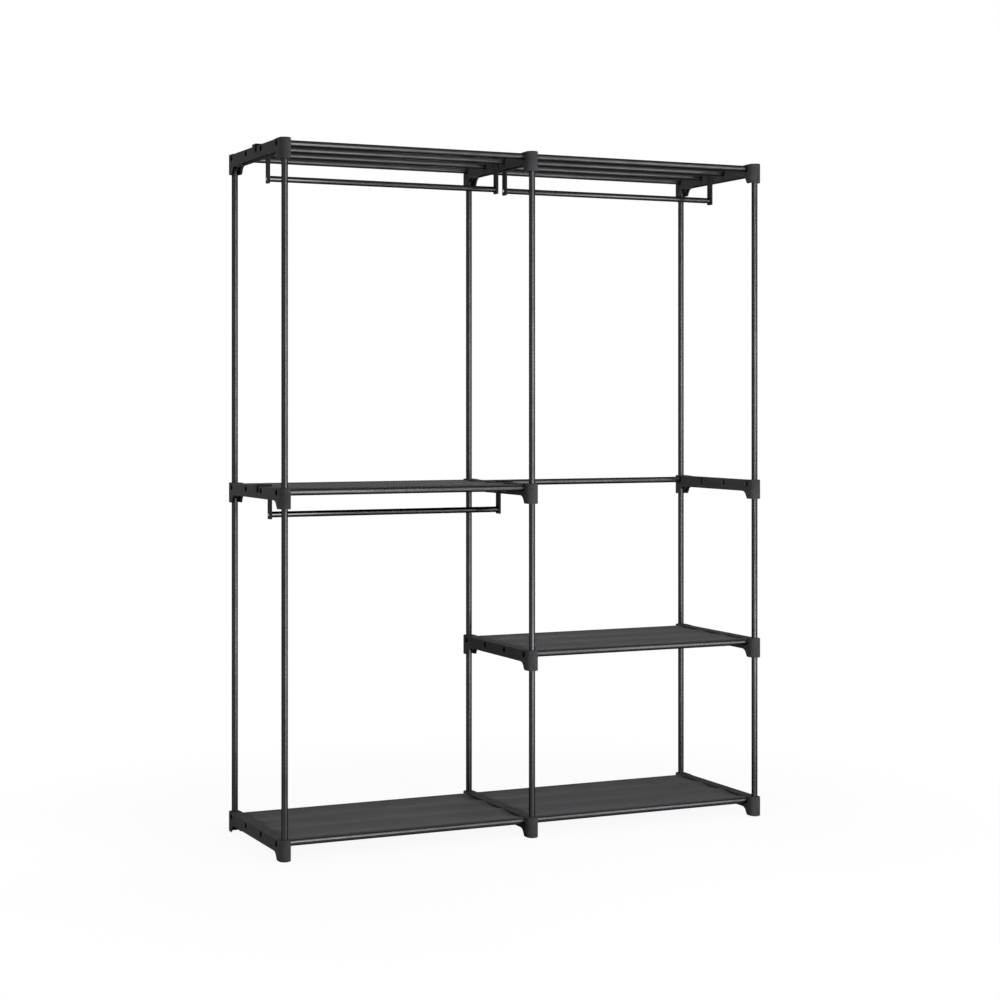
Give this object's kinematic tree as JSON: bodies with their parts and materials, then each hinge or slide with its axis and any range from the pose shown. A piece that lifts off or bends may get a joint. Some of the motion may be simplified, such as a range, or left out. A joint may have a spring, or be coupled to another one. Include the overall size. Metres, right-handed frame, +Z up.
{
  "type": "open frame wardrobe",
  "caption": "Free-standing open wardrobe of black tubes in moulded side connectors, with a tube rack on top, fabric shelves and lift-off hanging rails.",
  "frame": {"origin": "centre of the footprint, on the floor", "axes": "+X to the right seen from the front, +Y to the back, +Z up"},
  "size_m": [1.3598, 0.423, 1.7437],
  "materials": {
    "connector_plastic": "fine moulded texture, matte black",
    "hook_plastic": "moulded black, slightly smoother",
    "tube_coat": "satin black powder coat",
    "rod_gloss": "gloss black paint",
    "shelf_fabric": "charcoal non-woven cloth",
    "screw_zinc": "bright zinc plate"
  },
  "bodies": {
    "frame": {"base_inner_tubes": "tube_coat", "centre_back_lower_post": "tube_coat", "centre_back_middle_post": "tube_coat", "centre_back_upper_post": "tube_coat", "centre_base_connector": "connector_plastic", "centre_front_lower_post": "tube_coat", "centre_front_middle_post": "tube_coat", "centre_front_upper_post": "tube_coat", "centre_low_connector": "connector_plastic", "centre_mid_connector": "connector_plastic", "centre_top_connector": "connector_plastic", "left_back_lower_post": "tube_coat", "left_back_upper_post": "tube_coat", "left_base_back_tube": "tube_coat", "left_base_connector": "connector_plastic", "left_base_front_tube": "tube_coat", "left_base_shelf": "shelf_fabric", "left_front_lower_post": "tube_coat", "left_front_upper_post": "tube_coat", "left_mid_back_tube": "tube_coat", "left_mid_connector": "connector_plastic", "left_mid_front_tube": "tube_coat", "left_mid_shelf": "shelf_fabric", "left_top_back_tube": "tube_coat", "left_top_connector": "connector_plastic", "left_top_front_tube": "tube_coat", "low_inner_tubes": "tube_coat", "mid_inner_tubes": "tube_coat", "right_back_lower_post": "tube_coat", "right_back_middle_post": "tube_coat", "right_back_upper_post": "tube_coat", "right_base_back_tube": "tube_coat", "right_base_connector": "connector_plastic", "right_base_front_tube": "tube_coat", "right_base_shelf": "shelf_fabric", "right_front_lower_post": "tube_coat", "right_front_middle_post": "tube_coat", "right_front_upper_post": "tube_coat", "right_low_back_tube": "tube_coat", "right_low_connector": "connector_plastic", "right_low_front_tube": "tube_coat", "right_low_shelf": "shelf_fabric", "right_mid_back_tube": "tube_coat", "right_mid_connector": "connector_plastic", "right_top_back_tube": "tube_coat", "right_top_connector": "connector_plastic", "right_top_front_tube": "tube_coat", "top_inner_tubes": "tube_coat"},
    "left_top_rail": {"left_top_rail_left_hook": "hook_plastic", "left_top_rail_right_hook": "hook_plastic", "left_top_rail_rod": "rod_gloss", "left_top_rail_screws": "screw_zinc"},
    "right_top_rail": {"right_top_rail_left_hook": "hook_plastic", "right_top_rail_right_hook": "hook_plastic", "right_top_rail_rod": "rod_gloss", "right_top_rail_screws": "screw_zinc"},
    "left_mid_rail": {"left_mid_rail_left_hook": "hook_plastic", "left_mid_rail_right_hook": "hook_plastic", "left_mid_rail_rod": "rod_gloss", "left_mid_rail_screws": "screw_zinc"}
  },
  "joints": [
    {"name": "left_top_rail_lift", "type": "slide", "parent": "frame", "child": "left_top_rail", "axis": [0, 0, 1], "range_m": [0, 0.03]},
    {"name": "right_top_rail_lift", "type": "slide", "parent": "frame", "child": "right_top_rail", "axis": [0, 0, 1], "range_m": [0, 0.03]},
    {"name": "left_mid_rail_lift", "type": "slide", "parent": "frame", "child": "left_mid_rail", "axis": [0, 0, 1], "range_m": [0, 0.03]}
  ]
}
